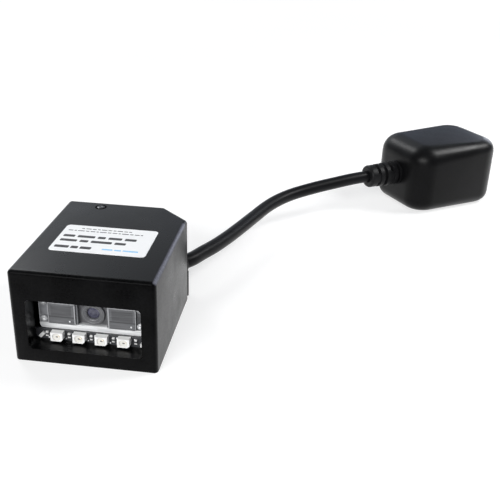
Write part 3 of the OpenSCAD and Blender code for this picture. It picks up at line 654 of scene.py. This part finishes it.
class Shape:
    """A mesh that is built up from simple forms, in millimetres."""

    def __init__(self):
        self.mesh = bmesh.new()

    def band(self, a, b):
        """Faces between two closed rings of as many points."""
        count = len(a)
        for k in range(count):
            after = (k + 1) % count
            self.mesh.faces.new((a[k], a[after], b[after], b[k]))

    def bands(self, rings):
        """Faces from each ring to the next."""
        for a, b in zip(rings, rings[1:]):
            self.band(a, b)

    def caps(self, rings):
        """A face over the first ring and one over the last."""
        self.mesh.faces.new(rings[0][::-1])
        self.mesh.faces.new(rings[-1])

    def circle(self, centre, side, other, radius, count):
        """A ring of points round a centre, in the plane of two directions."""
        ring = []
        for k in range(count):
            angle = 2.0 * math.pi * k / count
            spoke = math.cos(angle) * side + math.sin(angle) * other
            ring.append(self.mesh.verts.new(centre + radius * spoke))
        return ring

    def prism(self, outline, low, high, upright=True):
        """An outline of (x, y) points drawn out from low to high in z, or else one of (x, z) points in y."""
        rings = []
        for end in (low, high):
            places = [(u, v, end) if upright else (u, end, v) for u, v in outline]
            rings.append([self.mesh.verts.new(place) for place in places])
        self.bands(rings)
        self.caps(rings)

    def box(self, low, high):
        outline = [(low[0], low[1]), (high[0], low[1]), (high[0], high[1]), (low[0], high[1])]
        self.prism(outline, low[2], high[2])

    def turned(self, profile, centre, facing, sides):
        """A profile of (radius, height) points turned round the facing direction."""
        facing = Vector(facing).normalized()
        side = facing.orthogonal().normalized()
        other = facing.cross(side)
        rings = []
        for radius, height in profile:
            rings.append(self.circle(Vector(centre) + height * facing, side, other, radius, sides))
        self.bands(rings)
        return rings

    def closed_ring(self, profile, centre, facing, sides=48):
        """A ring whose section is the closed profile."""
        rings = self.turned(profile, centre, facing, sides)
        self.band(rings[-1], rings[0])

    def domed(self, profile, centre, facing, sides=24):
        """A turned form with both ends closed."""
        self.caps(self.turned(profile, centre, facing, sides))

    def tube(self, path, radius, sides=8):
        """A round tube along a path, closed at both ends."""
        points = [Vector(place) for place in path]
        normal = (points[1] - points[0]).orthogonal().normalized()
        rings = []
        for k, place in enumerate(points):
            ahead = (points[min(k + 1, len(points) - 1)] - points[max(k - 1, 0)]).normalized()
            normal = (normal - normal.dot(ahead) * ahead).normalized()
            rings.append(self.circle(place, normal, ahead.cross(normal), radius, sides))
        self.bands(rings)
        self.caps(rings)

    def piece(self, name, kind, width=0.0):
        """The finished piece, which rides on the part."""
        bmesh.ops.recalc_face_normals(self.mesh, faces=self.mesh.faces)
        bmesh.ops.scale(self.mesh, vec=(MM, MM, MM), verts=self.mesh.verts)
        data = bpy.data.meshes.new(name)
        self.mesh.to_mesh(data)
        self.mesh.free()
        data.materials.append(kinds[kind])
        obj = bpy.data.objects.new(name, data)
        scene.collection.objects.link(obj)
        soften(obj, width)
        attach(obj, "root")
        return obj


def rounded(x0, x1, y0, y1, radius, steps):
    """Outline of a rectangle with round corners."""
    corners = ((x1 - radius, y1 - radius, 0), (x0 + radius, y1 - radius, 90),
               (x0 + radius, y0 + radius, 180), (x1 - radius, y0 + radius, 270))
    points = []
    for cx, cy, start in corners:
        for k in range(steps + 1):
            angle = math.radians(start + 90.0 * k / steps)
            points.append((cx + radius * math.cos(angle), cy + radius * math.sin(angle)))
    return points


# Cable: the route of the solid, from inside the housing to its seat in the block

cable_d = 5.0
cable_sides = 28
cable_steps = 4
cable_exit = (16.5, 21.75, 10.7)
route = [
    (13.061, 18.12, 10.7), cable_exit, (20.626, 26.106, 10.7),
    (23.5, 31.6, 10.7), (27, 38.2, 10.7), (30.5, 46.4, 10.7), (34, 55.6, 10.8), (38, 66.5, 11),
    (42, 76.2, 11.5), (46.5, 83.8, 12), (51.5, 89.5, 12.5), (57, 94.1, 13), (62.5, 98.1, 13.5),
    (68, 101.9, 13.9), (73.5, 105.6, 14.3), (78, 108.6, 14.5), (82, 111.2, 14.5), (97.096, 121.004, 14.5),
]


def part_way(a, b, start, end, at):
    """The point between a, reached at start, and b, reached at end."""
    return a * ((end - at) / (end - start)) + b * ((at - start) / (end - start))


def smooth_path(points, steps):
    """Centripetal curve through the points, with a few points in each span."""
    guides = [Vector(point) for point in points]
    guides = [2 * guides[0] - guides[1]] + guides + [2 * guides[-1] - guides[-2]]
    out = []
    for k in range(1, len(guides) - 2):
        near = guides[k - 1:k + 3]
        knots = [0.0]
        for a, b in zip(near, near[1:]):
            knots.append(knots[-1] + (b - a).length ** 0.5)
        for step in range(steps):
            at = knots[1] + (knots[2] - knots[1]) * step / steps
            first = [part_way(near[i], near[i + 1], knots[i], knots[i + 1], at) for i in range(3)]
            second = [part_way(first[i], first[i + 1], knots[i], knots[i + 2], at) for i in range(2)]
            out.append(part_way(second[0], second[1], knots[1], knots[2], at))
    out.append(guides[-2])
    return out


path = smooth_path(route, cable_steps)
skin = Shape()
skin.tube(path, cable_d / 2, cable_sides)
cable = skin.piece("cable_skin", "cable")
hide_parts("cable")


# Label: rows of plain bars where print would be

def label_print():
    low = label_top_z - 0.01
    high = label_top_z + 0.015
    corner_share = 0.2
    corner_steps = 2

    def bars(shape, start, end, y, height, lengths, gap):
        """A row of bars of repeating lengths."""
        k = 0
        while start + lengths[k % len(lengths)] <= end:
            length = lengths[k % len(lengths)]
            outline = rounded(start, start + length, y - height / 2, y + height / 2, height * corner_share,
                              corner_steps)
            shape.prism(outline, low, high)
            start += length + gap
            k += 1

    grey = Shape()
    bars(grey, start=-9.4, end=8.2, y=4.2, height=0.45, lengths=(0.9, 1.7, 1.2), gap=0.4)
    bars(grey, start=-13.2, end=12.8, y=2.5, height=0.45, lengths=(1.5, 0.7, 2.1, 1.1), gap=0.4)
    bars(grey, start=-13.4, end=13.0, y=-1.4, height=1.5, lengths=(3.6, 5.4, 2.4, 4.2), gap=0.9)
    bars(grey, start=-13.4, end=10.6, y=-4.5, height=1.5, lengths=(5.2, 2.6, 6.4, 3.4), gap=0.9)
    bars(grey, start=-13.6, end=-0.9, y=-8.9, height=1.6, lengths=(4.4, 2.2, 3.4), gap=0.6)
    blue = Shape()
    bars(blue, start=0.9, end=13.2, y=-8.9, height=0.8, lengths=(3.2, 2.1, 4.6), gap=0.5)
    grey.piece("label_print_grey", "ink_grey")
    blue.piece("label_print_blue", "ink_blue")


# Rims of the lens pads and of the plate, painted pale as highlights on their edges, and the heads of the
# stakes that hold it

def pad_rim_highlights():
    proud = 0.1
    top_rim = 0.42
    inner_rim = 0.34
    outer_rim = 0.2
    rim_round = 0.06
    edge_out = plate_high.x - 0.05
    edge_in = plate_high.x - 0.35
    edge_high_z = plate_high.z - 1.4
    under_top = pad_high_z - top_rim
    # The bars are paler than the clear plate: painted highlights along the edges of the pads and at the ends
    # of the plate.
    rims = Shape()

    def bar(side, x0, x1, z0, z1, y):
        """A bar at x0 to x1 from the axis, on one side of it."""
        rims.box((min(side * x0, side * x1), y - proud, z0), (max(side * x0, side * x1), y + proud, z1))

    for side in (-1, 1):
        bar(side, pad_in, pad_out, under_top, pad_high_z, pad_front)
        bar(side, pad_in, pad_in + inner_rim, pad_low_z, under_top, pad_front)
        bar(side, pad_out - outer_rim, pad_out, pad_low_z, under_top, pad_front)
        bar(side, edge_in, edge_out, pad_low_z, edge_high_z, plate_face)
    rims.piece("pad_rim_highlights", "rim", rim_round)


def pupil_sill_highlight():
    """A pale strip along the lower edge of the opening for the camera, a painted highlight."""
    proud = 0.15
    depth = 0.6
    thick = 0.5
    raised = 0.04
    sill_round = 0.1
    sill = Shape()
    sill.box((-pupil_half_w, plate_face - proud, pupil_low_z - thick),
             (pupil_half_w, plate_face + depth, pupil_low_z + raised))
    sill.piece("pupil_sill_highlight", "glint_white", sill_round)


def stake_heads():
    """Domes on the pegs, with pale beads painted as glints on three of them, and a painted glint on each pad.
    """
    crown = [(1.08, -0.3), (1.08, 0.02), (0.98, 0.12), (0.62, 0.3), (0.25, 0.38), (0.05, 0.39)]
    glint_bead = [(0.5, -0.2), (0.46, 0.05), (0.3, 0.2), (0.05, 0.26)]
    glint_bead_out = 0.3
    glint_bead_places = ((-peg_x + 0.1, peg_low_z - 0.1), (-peg_x + 0.3, peg_high_z + 0.2),
                   (peg_x - 0.1, peg_low_z - 0.1))
    glint = [(0.3, -0.1), (0.26, 0.06), (0.14, 0.13), (0.03, 0.15)]
    glint_places = (-6.7, 11.8)
    glint_z = pad_low_z + 1.1
    small_sides = 16
    heads = Shape()
    for side in (-1, 1):
        for z in (peg_low_z, peg_high_z):
            heads.domed(crown, (side * peg_x, peg_front, z), TO_FRONT)
    heads.piece("stake_heads", "stake")
    glint_domes = Shape()
    # Pale domes that paint glints on three stake heads and on each pad.
    for x, z in glint_bead_places:
        glint_domes.domed(glint_bead, (x, peg_front - glint_bead_out, z), TO_FRONT, small_sides)
    for x in glint_places:
        glint_domes.domed(glint, (x, pad_front, glint_z), TO_FRONT, small_sides)
    glint_domes.piece("stake_glints", "glint_white")


# Steps inside the camera's tube

def tube_steps():
    half_w = 0.12
    rise = 0.08
    sink = 0.1
    outer = (2.95, -0.06)
    inner = (2.2, 0.2)
    steps = Shape()
    for radius, depth in (outer, inner):
        section = [(radius - half_w, depth), (radius, depth - rise), (radius + half_w, depth),
                   (radius, depth + sink)]
        steps.closed_ring(section, (0, tube_low.y, axis_z), TO_REAR)
    steps.piece("tube_steps", "tube_edge")


# Chips and bond wires of the lamps, and the small parts beside them

def lamp_chips():
    chip_left = 0.3
    chip_right = 0.35
    chip_down = 0.22
    chip_up = 0.18
    chip_out = 0.04
    chip_sunk = 0.2
    chip_round = 0.03
    wire_r = 0.04
    wire_x = 0.1
    wire_out = 0.03
    wire_z = 0.05
    wire_span = 0.8
    wire_arch = 0.25
    wire_climb = 0.35
    wire_parts = 5
    chips = Shape()
    wires = Shape()
    for low, high in lamp_boxes:
        x = (low.x + high.x) / 2
        z = (low.z + high.z) / 2
        chips.box((x - chip_left, fill_y - chip_out, z - chip_down),
                  (x + chip_right, fill_y + chip_sunk, z + chip_up))
        arch = []
        for k in range(wire_parts + 1):
            along = k / wire_parts
            arch.append((x + wire_x + wire_span * along,
                         fill_y - wire_out - wire_arch * math.sin(math.pi * along),
                         z + wire_z + wire_climb * along))
        wires.tube(arch, wire_r)
    chips.piece("lamp_chips", "die", chip_round)
    wires.piece("lamp_bond_wires", "gold")


def board_parts():
    """Two chips that lie askew at the ends of the board, and dots of solder beside the lamps."""
    chip_t = 0.6
    chip_sunk = 0.02
    chip_round = 0.08
    dot = [(0.26, -0.02), (0.23, 0.1), (0.12, 0.18), (0.03, 0.2)]
    dot_sides = 12
    gap_dots = ((-1.05, 4.8), (1.0, 6.6))
    end_dots = ((-13.0, 4.7), (13.0, 6.7))
    chips = Shape()

    def tilted(x, z, length, height, angle):
        """A chip turned by that many degrees."""
        cos = math.cos(math.radians(angle))
        sin = math.sin(math.radians(angle))
        corners = ((-length / 2, -height / 2), (length / 2, -height / 2), (length / 2, height / 2),
                   (-length / 2, height / 2))
        outline = [(x + u * cos - v * sin, z + u * sin + v * cos) for u, v in corners]
        chips.prism(outline, board_y - chip_t, board_y + chip_sunk, upright=False)

    tilted(x=-15.0, z=5.7, length=2.0, height=1.0, angle=48)
    tilted(x=15.2, z=5.2, length=0.9, height=1.3, angle=-8)
    dots = []
    for low, high in lamp_boxes[:-1]:
        gap_x = (low.x + high.x) / 2 + lamp_pitch / 2
        dots += [(gap_x + x, z) for x, z in gap_dots]
    dots += end_dots
    solder = Shape()
    for x, z in dots:
        solder.domed(dot, (x, board_y, z), TO_FRONT, dot_sides)
    chips.piece("board_chips", "chip_white", chip_round)
    solder.piece("board_solder", "tin")


# Crown of the roof screw in a paler metal as a painted highlight, a dark ring of painted shade round it, and
# the threads of the mounting holes

def screw_rings():
    """The rounded crown of the roof screw's head, in a paler metal that paints its highlights, and a matt
    black ring that paints the shade in its countersink.
    """
    crown = [(0.3, -0.1), (0.36, 0.12), (0.7, 0.22), (1.0, 0.15), (1.22, 0.02), (1.24, -0.1)]
    rim = [(1.28, -0.05), (1.34, 0.03), (1.86, 0.03), (1.92, -0.05)]
    middle = ((roof_screw_low.x + roof_screw_high.x) / 2, (roof_screw_low.y + roof_screw_high.y) / 2, roof_z)
    top = Shape()
    top.closed_ring(crown, middle, UPWARD)
    top.piece("screw_crown", "crown_glint_metal")
    edge = Shape()
    edge.closed_ring(rim, middle, UPWARD)
    edge.piece("screw_shade_ring", "countersink_shade")


def mount_threads():
    """A ridge that winds up inside each tapped hole of the base."""
    pitch = 0.5
    turns = 9
    per_turn = 20
    start_z = 0.4
    ridge_r = 0.13
    ridge_sides = 6
    mounts = {mount["name"]: mount for mount in frame["record"]["mounts"]}
    holes = mounts["base_holes"]
    middle = Vector(holes["pos_m"]) / MM
    spacing = holes["dims"]["spacing_x_mm"]
    radius = holes["dims"]["hole_r_mm"]
    threads = Shape()
    for side in (-1, 1):
        helix = []
        for k in range(turns * per_turn + 1):
            angle = 2.0 * math.pi * k / per_turn
            helix.append((middle.x + side * spacing / 2 + radius * math.cos(angle),
                          middle.y + radius * math.sin(angle), start_z + pitch * k / per_turn))
        threads.tube(helix, ridge_r, ridge_sides)
    threads.piece("mount_threads", "black_screw")


label_print()
pad_rim_highlights()
pupil_sill_highlight()
stake_heads()
tube_steps()
lamp_chips()
board_parts()
screw_rings()
mount_threads()

bpy.context.view_layer.update()
